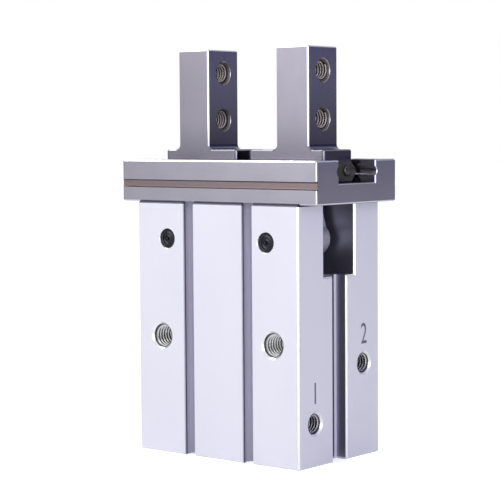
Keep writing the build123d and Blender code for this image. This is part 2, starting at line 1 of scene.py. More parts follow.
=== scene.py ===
# %% [markdown]
# This is a gripper that works by air: a light aluminium body, a steel rail on top of it, and
# two steel fingers that slide along the rail. Its solid pieces could be modelled again
# here, but then two models would have to agree, so every one of them comes from the packed
# CAD model, at its real size and in its real place. What is left to do is what the eye wants:
# the finish of each metal, the threads in the tapped holes, the marks at the air ports, and
# a studio to see it all in.

# %% Load the frame
import json
import math

import bmesh
import bpy
from mathutils import Matrix, Vector


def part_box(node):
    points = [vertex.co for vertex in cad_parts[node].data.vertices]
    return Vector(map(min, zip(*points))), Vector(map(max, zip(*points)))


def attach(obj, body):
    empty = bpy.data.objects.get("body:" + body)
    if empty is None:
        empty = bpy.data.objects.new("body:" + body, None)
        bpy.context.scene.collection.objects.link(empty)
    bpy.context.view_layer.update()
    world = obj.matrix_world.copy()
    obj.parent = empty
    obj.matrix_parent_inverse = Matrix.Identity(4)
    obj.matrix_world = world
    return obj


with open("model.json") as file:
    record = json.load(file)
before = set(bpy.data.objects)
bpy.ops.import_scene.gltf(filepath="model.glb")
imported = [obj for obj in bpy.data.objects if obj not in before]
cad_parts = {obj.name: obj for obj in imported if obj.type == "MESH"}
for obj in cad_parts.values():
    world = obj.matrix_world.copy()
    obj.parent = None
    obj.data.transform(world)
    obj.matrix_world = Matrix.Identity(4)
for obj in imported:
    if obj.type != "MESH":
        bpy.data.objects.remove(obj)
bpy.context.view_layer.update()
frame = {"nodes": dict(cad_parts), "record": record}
MM = 0.001

# %% [markdown]
# The camera comes first, because it decides what shows. It stands where the photograph was
# taken from: in front and to the right, about level with the fingers, and a little under
# half a metre away. It could be aimed by eye, or by a constraint at an empty, but neither
# gives the small roll of a camera held by hand. So it is built from three turns, as a tripod
# head works: a turn to the side, a small dip and a hint of roll. A long lens keeps the
# body's upright edges almost parallel.

# %% Camera
camera_place = Vector((281.8, -348.6, 82.6)) * MM
camera_turn = math.radians(39.2)
camera_dip = math.radians(3.95)
camera_roll = math.radians(-0.4)
picture_width = 500
focal_length_in_pixels = 1754.4
sensor_width = 36.0

camera = bpy.data.objects.new("camera", bpy.data.cameras.new("camera"))
bpy.context.scene.collection.objects.link(camera)
bpy.context.scene.camera = camera
camera.data.sensor_width = sensor_width
camera.data.lens = focal_length_in_pixels * sensor_width / picture_width
camera.data.clip_start = 10 * MM
camera.matrix_world = (
    Matrix.Translation(camera_place)
    @ Matrix.Rotation(camera_turn, 4, "Z")
    @ Matrix.Rotation(math.pi / 2 - camera_dip, 4, "X")
    @ Matrix.Rotation(camera_roll, 4, "Z")
)
print("lens in mm:", round(camera.data.lens, 1))

# %% [markdown]
# A material could be joined up by hand in the shader editor. Written down, it can be made
# again and changed in one place. Two small helpers serve every material. One turns a hex
# colour, as a colour picker gives it, into the linear colour that Blender calculates with.
# The other adds a node, sets its values and joins its inputs, so that a material reads as a
# short list of steps.

# %% Helpers for colours and nodes
bpy.context.scene.view_settings.view_transform = "Standard"


def linear(hex_colour):
    """Turns an sRGB hex colour such as #E6E6EC into linear red, green, blue and alpha."""
    parts = [int(hex_colour[i : i + 2], 16) / 255 for i in (1, 3, 5)]
    return [c / 12.92 if c <= 0.04045 else ((c + 0.055) / 1.055) ** 2.4 for c in parts] + [1.0]


def add_node(tree, kind, inputs, **settings):
    """Adds a node. An input is a value, or another node's output to join to it."""
    node = tree.nodes.new(kind)
    for name, value in settings.items():
        setattr(node, name, value)
    for name, value in inputs.items():
        if isinstance(value, bpy.types.NodeSocket):
            tree.links.new(value, node.inputs[name])
        else:
            node.inputs[name].default_value = value
    return node


print("white in linear light:", linear("#FFFFFF"))

# %% [markdown]
# A photographer shows steel by what it reflects. Pale card stands on most sides, and one
# darker, slightly blue card stands where the end faces look, so that they read as dark
# metal. Cards could be put up here as planes, but they would stand in the way of other
# views, and a picture of a real studio can't be changed. So the room itself is drawn: pale
# grey, with one soft dark patch behind the gripper on the right. The patch depends only on
# the angle to one direction, and fades over some forty degrees, like a card that stands
# close.

# %% Room
room_light = 0.56
room_white = 1.0
mirrored_light = 0.70
dark_card_level = 0.28
dark_card_colour = "#B0B0FF"
dark_card_direction = Vector((0.66, 0.75, 0.05)).normalized()
dark_card_inner = math.cos(math.radians(24))
dark_card_outer = math.cos(math.radians(62))

world = bpy.data.worlds.new("studio_room")
bpy.context.scene.world = world
world.use_nodes = True
room = world.node_tree
room.nodes.clear()
direction = add_node(room, "ShaderNodeTexCoord", {}).outputs["Generated"]
towards_card = add_node(
    room, "ShaderNodeVectorMath", {0: direction, 1: dark_card_direction}, operation="DOT_PRODUCT"
).outputs["Value"]
card_share = add_node(
    room,
    "ShaderNodeMapRange",
    {"Value": towards_card, "From Min": dark_card_outer, "From Max": dark_card_inner},
    interpolation_type="SMOOTHSTEP",
).outputs["Result"]
print("card fades from", round(dark_card_inner, 2), "to", round(dark_card_outer, 2))

# %% [markdown]
# A product photo has a white ground, yet a white room would wash the metal out. Two
# pictures could be put together afterwards, but it is simpler to let the room depend on what
# a ray came from. The camera sees white, a shiny surface sees the pale room with its dark
# patch, and plain shading gets an even grey.

# %% Room as each ray meets it
mirrored = add_node(
    room, "ShaderNodeMix", {"Factor": card_share, "A": mirrored_light, "B": dark_card_level}
).outputs["Result"]
ray = add_node(room, "ShaderNodeLightPath", {})
level = add_node(
    room, "ShaderNodeMix", {"Factor": ray.outputs["Is Glossy Ray"], "A": room_light, "B": mirrored}
).outputs["Result"]
for seen_by in ("Is Camera Ray", "Is Transmission Ray"):
    level = add_node(
        room, "ShaderNodeMix", {"Factor": ray.outputs[seen_by], "A": level, "B": room_white}
    ).outputs["Result"]
card_seen = add_node(
    room, "ShaderNodeMath", {0: card_share, 1: ray.outputs["Is Glossy Ray"]}, operation="MULTIPLY"
).outputs[0]
card_colour = add_node(
    room,
    "ShaderNodeMix",
    {"Factor": card_seen, 6: linear("#FFFFFF"), 7: linear(dark_card_colour)},
    data_type="RGBA",
).outputs[2]
backdrop = add_node(room, "ShaderNodeBackground", {"Color": card_colour, "Strength": level})
add_node(room, "ShaderNodeOutputWorld", {"Surface": backdrop.outputs["Background"]})
print("room nodes:", len(room.nodes))

# %% [markdown]
# Lamps could be points, but metal would show them as hard dots. Three soft boxes, as in a
# photo studio, are mirrored as soft shapes. The key light stands in front on the left and
# makes the front face the brightest one. It is raised, so that the rail doesn't mirror it
# straight into the lens. The edge light, a little blue, stands out on the right, where the
# bevels of the upright edges look. They mirror it as the thin white lines that make machined
# steel look crisp. The third box lights the tops.

# %% Lamps
middle = Vector((0, 0, 55)) * MM


def soft_box(name, place, width, height, watts, colour="#FFFFFF"):
    """A rectangular lamp at a place in metres, turned towards the middle of the gripper."""
    lamp = bpy.data.lights.new(name, "AREA")
    lamp.shape = "RECTANGLE"
    lamp.size = width
    lamp.size_y = height
    lamp.energy = watts
    lamp.color = linear(colour)[:3]
    holder = bpy.data.objects.new(name, lamp)
    holder.location = place
    holder.rotation_euler = (Vector(place) - middle).to_track_quat("Z", "Y").to_euler()
    bpy.context.scene.collection.objects.link(holder)
    print(name, "brightness:", round(watts / (math.pi * width * height), 2))


soft_box("key_light", (-0.50, -1.15, 0.46), 0.85, 0.8, 4.3)
soft_box("edge_light", (0.97, -0.56, 0.12), 0.7, 0.9, 6.9, "#DEDEFF")
soft_box("top_light", (-0.60, -0.05, 0.90), 0.5, 0.5, 3.0)

# %% [markdown]
# The gripper stands on a sheet of white paper. The floor could be left out, but then the
# gripper would hang in the air, with no shadow and nothing pale below it to mirror. Lit
# paper never comes out as white as a screen, so for the camera alone it gets some light of
# its own. Where the gripper shades it, it is still darker, so the shadow stays.

# %% Floor
floor_size = 6.0
floor_colour = "#F4F4F6"
floor_lift = 0.55

floor_mesh = bmesh.new()
bmesh.ops.create_grid(floor_mesh, x_segments=1, y_segments=1, size=floor_size / 2)
floor_data = bpy.data.meshes.new("floor")
floor_mesh.to_mesh(floor_data)
floor_mesh.free()
floor = bpy.data.objects.new("floor", floor_data)
bpy.context.scene.collection.objects.link(floor)

floor_paper = bpy.data.materials.new("white_paper")
floor_paper.use_nodes = True
paper = floor_paper.node_tree
seen = add_node(paper, "ShaderNodeLightPath", {}).outputs["Is Camera Ray"]
sheet = paper.nodes["Principled BSDF"]
sheet.inputs["Base Color"].default_value = linear(floor_colour)
sheet.inputs["Roughness"].default_value = 0.9
sheet.inputs["Specular IOR Level"].default_value = 0.0
sheet.inputs["Emission Color"].default_value = linear("#FFFFFF")
lift = add_node(paper, "ShaderNodeMath", {0: seen, 1: floor_lift}, operation="MULTIPLY").outputs[0]
paper.links.new(lift, sheet.inputs["Emission Strength"])
floor.data.materials.append(floor_paper)
print("floor:", floor_size, "m")

# %% [markdown]
# Each finish starts in the same way: a metal or plastic shader with its colour, and the
# object's own coordinates to lay patterns by. A material could be copied from another one
# and changed, but then a change to the first would never reach the second. One function
# starts them all and keeps them under their names.

# %% Start of a finish
finishes = {}


def start_finish(slot, colour, metallic, roughness):
    """Makes the material of a slot and returns its tree, its shader and its coordinates."""
    material = bpy.data.materials.new(slot)
    material.use_nodes = True
    tree = material.node_tree
    shader = tree.nodes["Principled BSDF"]
    shader.inputs["Base Color"].default_value = linear(colour)
    shader.inputs["Metallic"].default_value = metallic
    shader.inputs["Roughness"].default_value = roughness
    place = add_node(tree, "ShaderNodeTexCoord", {}).outputs["Object"]
    finishes[slot] = material
    return tree, shader, place


print("finishes before the first one:", len(finishes))

# %% [markdown]
# The patterns of metal are grain, from blasting, grinding or sintering, and rings, from a
# lathe. Photographs of metal could be wrapped round the pieces, but they would need
# unwrapping and would bring their own light along. Noise and rings need neither. Their sizes
# are given in millimetres, and a texture's scale is one over that size in metres.

# %% Grain and rings
def per(size_mm):
    """The texture scale that gives a pattern of this size in millimetres."""
    return 1 / (size_mm * MM)


def grain(tree, place, size_mm, stretch=(1, 1, 1), detail=3.0):
    """Noise with grains of a size, stretched by a factor along each axis."""
    scale = [1 / s for s in stretch]
    laid = add_node(tree, "ShaderNodeMapping", {"Vector": place, "Scale": scale}).outputs["Vector"]
    noise = add_node(tree, "ShaderNodeTexNoise", {"Vector": laid, "Scale": per(size_mm), "Detail": detail})
    return noise.outputs["Fac"]


def ring_pattern(tree, place, width_mm, axis):
    """Rings round an axis through the origin, a width apart, as a lathe leaves them."""
    radians_per_metre = 20  # what a wave texture of scale 1 goes through
    scale = per(width_mm) * math.tau / radians_per_metre
    rings = add_node(
        tree,
        "ShaderNodeTexWave",
        {"Vector": place, "Scale": scale, "Distortion": 0.4, "Detail": 1.0},
        wave_type="RINGS",
        rings_direction=axis,
    )
    return rings.outputs["Fac"]


print("scale for a grain of 0.4 mm:", per(0.4))

# %% [markdown]
# Real metal is never quite even. A pattern can do three things to it: let the colour drift,
# let the roughness drift, and raise the surface by a small part of a millimetre. The relief
# could be cut into the mesh, but at this size it would take millions of faces, so it only
# turns the shading.

# %% What a pattern does
def tint(tree, shader, amount, low, high):
    """Lets the colour drift between two hex colours with a pattern."""
    mix = add_node(
        tree, "ShaderNodeMix", {"Factor": amount, 6: linear(low), 7: linear(high)}, data_type="RGBA"
    )
    tree.links.new(mix.outputs[2], shader.inputs["Base Color"])


def roughen(tree, shader, pattern, low, high):
    """Lets the roughness drift between two values with a pattern."""
    span = add_node(tree, "ShaderNodeMapRange", {"Value": pattern, "To Min": low, "To Max": high})
    tree.links.new(span.outputs["Result"], shader.inputs["Roughness"])


def emboss(tree, shader, pattern, height_mm, strength=1.0):
    """Raises the surface by a pattern, to a height in millimetres."""
    bump = add_node(
        tree, "ShaderNodeBump", {"Height": pattern, "Distance": height_mm * MM, "Strength": strength}
    )
    tree.links.new(bump.outputs["Normal"], shader.inputs["Normal"])


print("what takes a pattern:", [helper.__name__ for helper in (tint, roughen, emboss)])

# %% [markdown]
# One CAD piece can carry more than one finish: a groove is rougher inside than the face
# round it, a bevel is painted brighter than both, as a painted highlight, and some hollows
# are painted darker, as painted shade. A mask is a number that is 1 on such a place and 0
# elsewhere. The faces could be picked by hand and given a second material, but the pick
# would be lost with the next version of the model. So a mask is worked out from the
# piece's own coordinates, or from the way its faces look.

# %% Masks
bevel_limit = 0.92  # a bevel's normal has no part as large as this


def largest_part(tree, vector):
    """The largest of the three parts of a vector."""
    x, y, z = add_node(tree, "ShaderNodeSeparateXYZ", {"Vector": vector}).outputs
    largest = add_node(tree, "ShaderNodeMath", {0: x, 1: y}, operation="MAXIMUM").outputs[0]
    return add_node(tree, "ShaderNodeMath", {0: largest, 1: z}, operation="MAXIMUM").outputs[0]


def within(tree, place, low, high):
    """Is 1 inside a box between two corners in metres, and 0 outside it."""
    low, high = Vector(low), Vector(high)
    centred = add_node(tree, "ShaderNodeVectorMath", {0: place, 1: (low + high) / 2}, operation="SUBTRACT")
    folded = add_node(tree, "ShaderNodeVectorMath", {0: centred.outputs[0]}, operation="ABSOLUTE")
    beyond = add_node(
        tree, "ShaderNodeVectorMath", {0: folded.outputs[0], 1: (high - low) / 2}, operation="SUBTRACT"
    )
    most = largest_part(tree, beyond.outputs[0])
    return add_node(tree, "ShaderNodeMath", {0: most, 1: 0.0}, operation="LESS_THAN").outputs[0]


def on_bevels(tree):
    """Is 1 where a face leans, as the small bevels along the edges do, and 0 on flat sides."""
    normal = add_node(tree, "ShaderNodeTexCoord", {}).outputs["Normal"]
    unsigned = add_node(tree, "ShaderNodeVectorMath", {0: normal}, operation="ABSOLUTE").outputs[0]
    most = largest_part(tree, unsigned)
    return add_node(tree, "ShaderNodeMath", {0: most, 1: bevel_limit}, operation="LESS_THAN").outputs[0]


print("a bevel leans more than degrees:", round(math.degrees(math.acos(bevel_limit)), 1))

# %% [markdown]
# Where a mask is 1, another colour, metal share or roughness is laid over the finish. A
# second shader could be mixed in for the same end, but one shader with a few changed inputs
# renders faster and is easier to follow. What was there before stays everywhere else, so
# several masks can follow one another.

# %% What lies over a finish
def overlay(tree, shader, name, mask, value):
    """Puts another value on a shader's input where a mask is 1, and keeps the rest."""
    first, last, result, kind = (6, 7, 2, "RGBA") if name == "Base Color" else (2, 3, 0, "FLOAT")
    socket = shader.inputs[name]
    so_far = socket.links[0].from_socket if socket.is_linked else socket.default_value
    mix = add_node(tree, "ShaderNodeMix", {"Factor": mask, first: so_far, last: value}, data_type=kind)
    tree.links.new(mix.outputs[result], socket)


def repaint(tree, shader, mask, colour, metallic=None, roughness=None):
    """Gives the place under a mask another colour and, where they are told, another sheen."""
    overlay(tree, shader, "Base Color", mask, linear(colour))
    if metallic is not None:
        overlay(tree, shader, "Metallic", mask, metallic)
    if roughness is not None:
        overlay(tree, shader, "Roughness", mask, roughness)


print("what takes a mask:", [helper.__name__ for helper in (overlay, repaint)])

# %% [markdown]
# The body is an aluminium extrusion, blasted and then anodised clear. Blasting leaves fine
# pits, and the oxide layer over them scatters light, so it looks like pale satin and not
# like a mirror: the eye sees a soft, slightly blue white with a fine grain. It could be
# bare metal under a clear coat, but a coat adds a sharp gloss that the oxide hasn't. So the
# shader is only partly metallic and fairly rough. The grain is drawn at 0.35 mm, coarser
# than real blasting, so that it shows. The bevels are smoother, and their colour is painted
# white, a painted highlight that draws them as thin white lines.

# %% Anodised aluminium
body_low, body_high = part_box("housing")
skin = 0.45 * MM  # how deep a face and its bevel reach

tree, shader, place = start_finish("anodised_aluminium", "#E4E3EC", 0.35, 0.48)
blasted = grain(tree, place, 0.35)
clouds = grain(tree, place, 14, stretch=(1, 1, 2.5), detail=2.0)
tint(tree, shader, clouds, "#E1E0EB", "#E9E8F0")
roughen(tree, shader, blasted, 0.42, 0.54)
emboss(tree, shader, blasted, 0.010, 0.5)
# painted highlight: the bevels get a white colour, besides a smoother sheen
repaint(tree, shader, on_bevels(tree), "#FFFFFF", 0.6, 0.25)
print("body finish nodes:", len(tree.nodes))

# %% [markdown]
# Under the rail runs a thin dark line of painted shade: the top of the body is bevelled and
# the rail shades it, so a thin slab at the top is painted dark. Inside, in the window below
# the rail and in the bores, the body was cut after blasting and mirrors its surroundings, so
# it is more metallic there, and its darker grey is painted shade as well. Shade alone could
# draw both, but the white floor and room leave it too weak, so a thin slab at the top and a
# box inside the faces are masked.

# %% Painted shade under the rail and inside the body
seam_shade = within(
    tree,
    place,
    (body_low.x - skin, body_low.y - skin, body_high.z - skin),
    (body_high.x + skin, body_high.y + skin, body_high.z + skin),
)
# painted shade: the bevelled top of the body goes dark under the rail
repaint(tree, shader, seam_shade, "#4A4854")
inside = within(tree, place, [c + skin for c in body_low], [c - skin for c in body_high])
# bare metal inside the body, and its darker grey is painted shade
repaint(tree, shader, inside, "#9E9CA8", 0.9, 0.34)
print("inside starts below the faces, in mm:", round(skin / MM, 2))

# %% [markdown]
# The sensor grooves lie on the front and on the rear. Their round floors are pale, as they
# are anodised like the faces. Their narrow lips are painted dark, as painted shade, because
# little light gets past them. Each groove could have a mask of its own, but one flat box over
# the whole field serves, because outside the grooves there is only solid metal below the
# face. The stepped groove on each end has a ledge, which looks straight out and is as pale
# as the face.

# %% Grooves of the body
groove_field = (-11.5 * MM, 12.7 * MM)  # holds both sensor grooves
groove_reach = 5.5 * MM
lip_depth = 1.45 * MM
ledge_depth = 3.2 * MM
ledge_half_width = 3 * MM
ledge_slack = 0.05 * MM


def groove_strips(depth):
    """Masks of the groove field, from just under the front and the rear face to a depth."""
    for low_y, high_y in ((body_low.y, body_low.y + depth), (body_high.y - depth, body_high.y)):
        yield within(
            tree,
            place,
            (groove_field[0], low_y + skin, -skin),
            (groove_field[1], high_y - skin, body_high.z + skin),
        )


for strip in groove_strips(groove_reach):
    repaint(tree, shader, strip, "#DCDAE6", 0.6, 0.40)
# painted shade on the narrow lips of the grooves
for strip in groove_strips(lip_depth):
    repaint(tree, shader, strip, "#5C5A68")
for ledge_x in (body_low.x + ledge_depth, body_high.x - ledge_depth):
    ledge = within(
        tree,
        place,
        (ledge_x - ledge_slack, -ledge_half_width, -skin),
        (ledge_x + ledge_slack, ledge_half_width, body_high.z + skin),
    )
    repaint(tree, shader, ledge, "#EAE9F2", 0.1)
print("body finish nodes now:", len(tree.nodes))

# %% [markdown]
# The cap, the piston and the seal plate are turned on a lathe and not anodised. Fine rings
# run round their axis, and light draws a bright fan across them. The anisotropic setting
# could draw the fan without any rings, but close up the eye looks for the rings themselves,
# so they are drawn, in the roughness and as a faint relief.

# %% Turned aluminium
tree, shader, place = start_finish("cap_aluminium", "#C9CACF", 0.9, 0.32)
rings = ring_pattern(tree, place, 0.5, "Z")
roughen(tree, shader, rings, 0.26, 0.40)
emboss(tree, shader, rings, 0.006, 0.6)
print("aluminium finishes:", list(finishes))

# %% [markdown]
# A cut thread is bright metal, but its valleys see only each other. So each crest is a
# bright line between dark ones. Light alone would draw that in time, but down in a hole it
# takes very many samples. So light and shade are painted into the colour: the meshes of the
# threads carry a value called crest, which is 1 on the crest and 0 in the valley, and the
# colour follows it, with painted shade in the valleys and a painted highlight on the crests.
# Raised to a power, it falls off sooner, which makes the bright line narrower.

# %% Cut threads
# painted shade in the valleys and a painted highlight on the crests
for finish, valley_shade, crest, sharpness, metallic, roughness in (
    ("cut_aluminium", "#14141E", "#FFFFFF", 1.5, 1.0, 0.25),
    ("cut_steel", "#040404", "#FFF4EA", 3.5, 0.5, 0.35),
):
    tree, shader, place = start_finish(finish, crest, metallic, roughness)
    share = add_node(tree, "ShaderNodeAttribute", {}, attribute_name="crest").outputs["Fac"]
    narrow = add_node(tree, "ShaderNodeMath", {0: share, 1: sharpness}, operation="POWER").outputs[0]
    tint(tree, shader, narrow, valley_shade, crest)
print("finishes so far:", len(finishes))

# %% [markdown]
# The rail and the fingers are hardened stainless steel, ground flat. Grinding leaves fine
# straight scratches one way, along the rail and up the fingers. A picture of brushed metal
# could give them, but noise stretched forty times that way does too, and never repeats. It
# is drawn at 0.22 mm, coarser than real scratches, so that it shows. The steel is a mid grey
# with a breath of violet, smooth enough to mirror the studio as soft shapes. Its bevels are
# painted brighter, as a painted highlight.

# %% Ground steel
def ground_finish(slot, stretch, low, high):
    """Steel with fine scratches along the axis that it is stretched on, and a painted highlight on its
    bevels.
    """
    tree, shader, place = start_finish(slot, low, 1.0, 0.22)
    scratches = grain(tree, place, 0.22, stretch=stretch, detail=4.0)
    clouds = grain(tree, place, 9, detail=1.0)
    tint(tree, shader, clouds, low, high)
    roughen(tree, shader, scratches, 0.17, 0.30)
    emboss(tree, shader, scratches, 0.004, 0.35)
    # painted highlight: the bevels get a lighter colour
    repaint(tree, shader, on_bevels(tree), "#DDDBE6")
    return tree, shader, place


tree, shader, place = ground_finish("ground_steel", (40, 1, 1), "#9C99A6", "#A8A5B0")
print("rail finish nodes:", len(tree.nodes))

# %% [markdown]
# The groove along both sides of the rail is given a brownish grey. It is lightest along its
# middle and darker towards its edges, a painted highlight and painted shade across the round
# groove. It could be a piece of its own with its own material, but it is only a place on the
# rail, so a flat box along each side masks it, and the colour follows the height.

# %% Groove of the rail
rail_low, rail_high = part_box("guide_rail")
groove_bottom = 3.5 * MM   # above the underside of the rail
groove_top = 5.7 * MM
groove_depth = 0.65 * MM
groove_start = 0.05 * MM   # below the face, so that the face keeps its own finish
light_half = 0.62 * MM     # from the middle of the groove
dark_half = 0.95 * MM

height = add_node(tree, "ShaderNodeSeparateXYZ", {"Vector": place}).outputs["Z"]
groove_middle = rail_low.z + (groove_bottom + groove_top) / 2
above = add_node(tree, "ShaderNodeMath", {0: height, 1: groove_middle}, operation="SUBTRACT").outputs[0]
off_middle = add_node(tree, "ShaderNodeMath", {0: above}, operation="ABSOLUTE").outputs[0]
edge_share = add_node(
    tree, "ShaderNodeMapRange", {"Value": off_middle, "From Min": light_half, "From Max": dark_half}
).outputs["Result"]
# painted highlight along the middle of the groove, painted shade towards its edges
groove_shade_colour = add_node(
    tree,
    "ShaderNodeMix",
    {"Factor": edge_share, 6: linear("#867779"), 7: linear("#4A4042")},
    data_type="RGBA",
).outputs[2]
for low_y, high_y in ((rail_low.y, rail_low.y + groove_depth), (rail_high.y - groove_depth, rail_high.y)):
    groove = within(
        tree,
        place,
        (rail_low.x - skin, low_y + groove_start, rail_low.z + groove_bottom),
        (rail_high.x + skin, high_y - groove_start, rail_low.z + groove_top),
    )
    overlay(tree, shader, "Base Color", groove, groove_shade_colour)
print("rail finish nodes now:", len(tree.nodes))

# %% [markdown]
# The fingers are ground on the front and the rear. Their foot is painted a shade darker,
# where they come close to the rail, as painted shade. The sides that look along the rail are
# painted darkest near the foot, as a painted reflection of each other and of the top of the
# rail. Mirroring alone could do it, if the whole studio were known. Here a mask for the way
# the sides look, and a colour that follows the height, paint that reflection.

# %% Steel of the fingers
foot_height = 10 * MM      # above the rail
side_dark_to = 2 * MM
side_light_from = 20 * MM
side_limit = 0.95          # a side's normal has more than this along the rail

tree, shader, place = ground_finish("finger_steel", (1, 1, 40), "#878490", "#928F9A")
height = add_node(tree, "ShaderNodeSeparateXYZ", {"Vector": place}).outputs["Z"]
foot = add_node(
    tree,
    "ShaderNodeMapRange",
    {"Value": height, "From Min": rail_high.z + foot_height, "From Max": rail_high.z},
    interpolation_type="SMOOTHSTEP",
).outputs["Result"]
# painted shade: the foot is darker near the rail
repaint(tree, shader, foot, "#7C7985")

normal = add_node(tree, "ShaderNodeTexCoord", {}).outputs["Normal"]
along_rail = add_node(tree, "ShaderNodeSeparateXYZ", {"Vector": normal}).outputs["X"]
unsigned = add_node(tree, "ShaderNodeMath", {0: along_rail}, operation="ABSOLUTE").outputs[0]
sides = add_node(tree, "ShaderNodeMath", {0: unsigned, 1: side_limit}, operation="GREATER_THAN").outputs[0]
rise = add_node(
    tree,
    "ShaderNodeMapRange",
    {"Value": height, "From Min": rail_high.z + side_dark_to, "From Max": rail_high.z + side_light_from},
).outputs["Result"]
# painted reflection: the sides darken towards the foot
side_reflection_colour = add_node(
    tree, "ShaderNodeMix", {"Factor": rise, 6: linear("#585460"), 7: linear("#A8A5AA")}, data_type="RGBA"
).outputs[2]
overlay(tree, shader, "Base Color", sides, side_reflection_colour)
print("finger finish nodes:", len(tree.nodes))

# %% [markdown]
# The walls and chamfers of the two holes of each finger are rougher than the ground faces,
# and a darker, browner grey is painted there as painted shade in the holes, which sets off
# the thread. A round mask for each hole would be the exact way, but one box from just below
# one face to just below the other holds both holes and touches nothing else.

# %% Walls of the finger holes
mounts = {mount["name"]: mount for mount in frame["record"]["mounts"]}
tab_thickness = 10 * MM
hole_start = 0.06 * MM     # below the face, so that the face keeps its own finish
hole_reach = 3.3 * MM      # from the axis, past the chamfer
holes_reach = 10 * MM      # up and down from between the two holes

# painted shade in the finger holes, with a rougher sheen
for side_name, side in (("right", 1), ("left", -1)):
    near_x, _, holes_z = mounts[f"{side_name}_finger_holes"]["pos_m"]
    ends = sorted((near_x + side * hole_start, near_x + side * (tab_thickness - hole_start)))
    hole = within(
        tree,
        place,
        (ends[0], -hole_reach, holes_z - holes_reach),
        (ends[1], hole_reach, holes_z + holes_reach),
    )
    repaint(tree, shader, hole, "#7A706A", roughness=0.6)
print("steel finishes:", len(finishes))

# %% [markdown]
# The small steel pieces each have a finish of their own. The end plates are stamped and
# dark, with a warm tone, and their screws are smoother. Black oxide on the rail screws is a
# thin layer that still glints. The levers are sintered from powder, so they are matt and
# speckled. The rod is chromed and ground, the balls are polished, and phosphate on the
# spring ring and the nut is dull and grey. One dark metal could serve all of them, as most
# are only a few pixels wide, but side by side their different shine tells them apart.

# %% Plates, screws, levers, rod, ring and balls
tree, shader, place = start_finish("plate_steel", "#5A5952", 1.0, 0.30)
stamped = grain(tree, place, 0.3)
roughen(tree, shader, stamped, 0.24, 0.38)
emboss(tree, shader, stamped, 0.004, 0.4)

tree, shader, place = start_finish("screw_steel", "#5E5D59", 1.0, 0.18)
roughen(tree, shader, grain(tree, place, 0.25), 0.14, 0.24)

tree, shader, place = start_finish("black_steel", "#1C1C22", 0.85, 0.34)
oxide = grain(tree, place, 0.4)
tint(tree, shader, oxide, "#15151A", "#27272E")
roughen(tree, shader, oxide, 0.28, 0.44)

tree, shader, place = start_finish("lever_steel", "#C4C3C8", 0.8, 0.50)
powder = grain(tree, place, 0.5, detail=5.0)
tint(tree, shader, powder, "#A4A4AA", "#DADADE")
roughen(tree, shader, powder, 0.45, 0.70)
emboss(tree, shader, powder, 0.05, 0.6)

tree, shader, place = start_finish("rod_steel", "#D2D2D6", 1.0, 0.10)
turned = grain(tree, place, 0.2, stretch=(8, 8, 1))
roughen(tree, shader, turned, 0.07, 0.15)

tree, shader, place = start_finish("spring_steel", "#55555B", 0.9, 0.45)
phosphate = grain(tree, place, 0.3)
tint(tree, shader, phosphate, "#48484E", "#626268")
roughen(tree, shader, phosphate, 0.38, 0.55)

tree, shader, place = start_finish("ball_steel", "#DADADE", 1.0, 0.06)
roughen(tree, shader, grain(tree, place, 1.2), 0.05, 0.09)
print("finishes so far:", len(finishes))

# %% [markdown]
# The lever shafts are black too, but their ends, which show in the front, were turned with
# a coarse feed. The wide rings round their middle catch the light one by one. They could be
# turned in the CAD model, but they are too shallow to measure, so they are drawn as relief,
# as wide as they look in the photograph. One material serves both shafts: they stand as
# mirror images, so the distance from an axis comes out the same once the signs are dropped.

# %% Turned ends of the lever shafts
shaft_low, shaft_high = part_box("right_lever_shaft")
shaft_axis = (shaft_low + shaft_high) / 2

tree, shader, place = start_finish("turned_black_steel", "#38383F", 1.0, 0.17)
unsigned = add_node(tree, "ShaderNodeVectorMath", {0: place}, operation="ABSOLUTE").outputs[0]
from_axis = add_node(
    tree, "ShaderNodeVectorMath", {0: unsigned, 1: (shaft_axis.x, 0, shaft_axis.z)}, operation="SUBTRACT"
).outputs[0]
emboss(tree, shader, ring_pattern(tree, from_axis, 0.95, "Y"), 0.13)
print("shaft axis in mm:", round(shaft_axis.x / MM, 2), round(shaft_axis.z / MM, 2))

# %% [markdown]
# The pieces inside are not metal alone. The rod bush is bronze powder soaked with oil, the
# seals are nitrile rubber, the bumpers are urethane, and the piston slides on a ring of
# filled plastic over a bonded magnet. They show only when the gripper is taken apart, and
# could all be plain grey, but a finish that is right costs no more than one that is wrong.
# The soft ones differ only in colour and roughness, so one loop makes them.

# %% Inner pieces
tree, shader, place = start_finish("bronze", "#B08A55", 1.0, 0.38)
pores = grain(tree, place, 0.4, detail=5.0)
tint(tree, shader, pores, "#94703F", "#BE9A66")
emboss(tree, shader, pores, 0.02, 0.5)

for slot, low, high, roughness in (
    ("seal_rubber", "#141414", "#202020", 0.55),
    ("bumper_rubber", "#3A352A", "#4A4436", 0.60),
    ("magnet", "#2E2E32", "#3C3C40", 0.65),
    ("wear_plastic", "#DDD6C0", "#E9E3D2", 0.45),
):
    tree, shader, place = start_finish(slot, low, 0.0, roughness)
    moulded = grain(tree, place, 0.4)
    tint(tree, shader, moulded, low, high)
    emboss(tree, shader, moulded, 0.01, 0.4)
print("all finishes:", len(finishes))

# %% [markdown]
# Now each CAD node gets the finish of its slot. A table of names could say which, but the
# record that comes with the model says it already, so nothing has to be matched by hand.
# Only the two lever shafts get the turned finish instead.

# %% Dress the CAD nodes
finish_of = {part["node"]: part["material_slot"] for part in frame["record"]["subparts"]}
for side_name in ("right", "left"):
    finish_of[f"{side_name}_lever_shaft"] = "turned_black_steel"
for name, node in frame["nodes"].items():
    for material_slot in node.material_slots:
        material_slot.material = finishes[finish_of[name]]
print("dressed:", len(finish_of), "nodes with", len(set(finish_of.values())), "finishes")

# %% [markdown]
# What is added to the CAD model is a mesh that gets its finish, rides on a body, and so
# moves with it.

